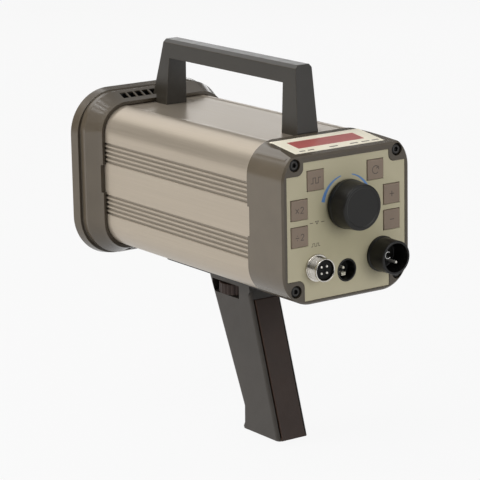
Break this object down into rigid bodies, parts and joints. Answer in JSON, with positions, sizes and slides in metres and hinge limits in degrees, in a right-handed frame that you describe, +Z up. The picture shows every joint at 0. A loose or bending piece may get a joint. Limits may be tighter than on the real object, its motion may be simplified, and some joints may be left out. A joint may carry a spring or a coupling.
{
  "type": "xenon stroboscope",
  "caption": "Hand-held flash stroboscope: ribbed square tube body, flared flash hood with clear lens, operator panel with knob, keys and sockets, top carry handle and pistol grip.",
  "frame": {"origin": "middle of the pistol grip, where the hand closes round it", "axes": "+X to the operator's right, +Y from the operator's panel to the flash end, +Z up"},
  "size_m": [0.1174, 0.246, 0.2484],
  "materials": {
    "tube_aluminium": "satin anodised",
    "taupe_plastic": "fine satin moulded",
    "overlay_film": "matt printed film",
    "key_film": "matt printed film",
    "black_plastic": "satin moulded",
    "charcoal_plastic": "satin moulded",
    "grip_plastic": "fine textured",
    "grip_rubber": "matt",
    "chrome_metal": "polished",
    "contact_metal": "bright",
    "black_steel": "black oxide",
    "cream_plate": "satin",
    "red_window": "gloss",
    "module_plastic": "matt",
    "clear_lens": "polished",
    "reflector_metal": "polished",
    "quartz_glass": "polished",
    "seal_rubber": "matt",
    "ceramic": "glazed",
    "board_laminate": "matt",
    "capacitor_sleeve": "satin",
    "transformer_steel": "varnished",
    "turned_steel": "turned"
  },
  "bodies": {
    "housing": {"body_extrusion": "tube_aluminium", "operator_cap": "taupe_plastic", "panel_overlay": "overlay_film", "display_bezel": "cream_plate", "display_window": "red_window", "display_module": "module_plastic", "panel_screws": "black_steel", "hood_screws": "black_steel", "key_board": "board_laminate", "encoder_body": "turned_steel", "encoder_nut": "turned_steel", "signal_socket_shell": "chrome_metal", "signal_socket_insert": "black_plastic", "signal_socket_pins": "contact_metal", "signal_socket_nut": "chrome_metal", "aux_jack_shell": "black_plastic", "aux_jack_contacts": "contact_metal", "power_inlet_barrel": "black_plastic", "power_inlet_pins": "contact_metal", "power_inlet_clip": "contact_metal", "flash_hood": "taupe_plastic", "lens_gasket": "seal_rubber", "flash_lens": "clear_lens", "reflector": "reflector_metal", "lamp_base": "ceramic", "flash_tube": "quartz_glass", "main_board": "board_laminate", "supply_transformer": "transformer_steel", "flash_capacitor": "capacitor_sleeve", "trigger_transformer": "transformer_steel", "top_handle": "charcoal_plastic", "handle_screws": "black_steel", "grip_left_shell": "grip_plastic", "grip_right_shell": "grip_plastic", "grip_front_pad": "grip_rubber", "grip_screws": "black_steel", "grip_plate": "black_steel", "bush_plate": "turned_steel"},
    "knob": {"rate_knob": "black_plastic", "encoder_shaft": "turned_steel"},
    "attachment_screw": {"thumbwheel": "black_plastic", "thumbwheel_stud": "turned_steel"},
    "double_key": {"key_double": "key_film"},
    "halve_key": {"key_halve": "key_film"},
    "signal_key": {"key_signal": "key_film"},
    "mode_key": {"key_mode": "key_film"},
    "raise_key": {"key_raise": "key_film"},
    "lower_key": {"key_lower": "key_film"}
  },
  "joints": [
    {"name": "rate_knob_turn", "type": "hinge", "parent": "housing", "child": "knob", "pos_m": [0, -0.103, 0.1156], "axis": [0, 1, 0], "continuous": true},
    {"name": "thumbwheel_turn", "type": "hinge", "parent": "housing", "child": "attachment_screw", "pos_m": [0, 0.0212, 0.0402], "axis": [0, 0, 1], "continuous": true},
    {"name": "double_key_press", "type": "slide", "parent": "housing", "child": "double_key", "axis": [0, 1, 0], "range_m": [0, 0.0004], "stiffness_N_per_m": 1500},
    {"name": "halve_key_press", "type": "slide", "parent": "housing", "child": "halve_key", "axis": [0, 1, 0], "range_m": [0, 0.0004], "stiffness_N_per_m": 1500},
    {"name": "signal_key_press", "type": "slide", "parent": "housing", "child": "signal_key", "axis": [0, 1, 0], "range_m": [0, 0.0004], "stiffness_N_per_m": 1500},
    {"name": "mode_key_press", "type": "slide", "parent": "housing", "child": "mode_key", "axis": [0, 1, 0], "range_m": [0, 0.0004], "stiffness_N_per_m": 1500},
    {"name": "raise_key_press", "type": "slide", "parent": "housing", "child": "raise_key", "axis": [0, 1, 0], "range_m": [0, 0.0004], "stiffness_N_per_m": 1500},
    {"name": "lower_key_press", "type": "slide", "parent": "housing", "child": "lower_key", "axis": [0, 1, 0], "range_m": [0, 0.0004], "stiffness_N_per_m": 1500}
  ]
}
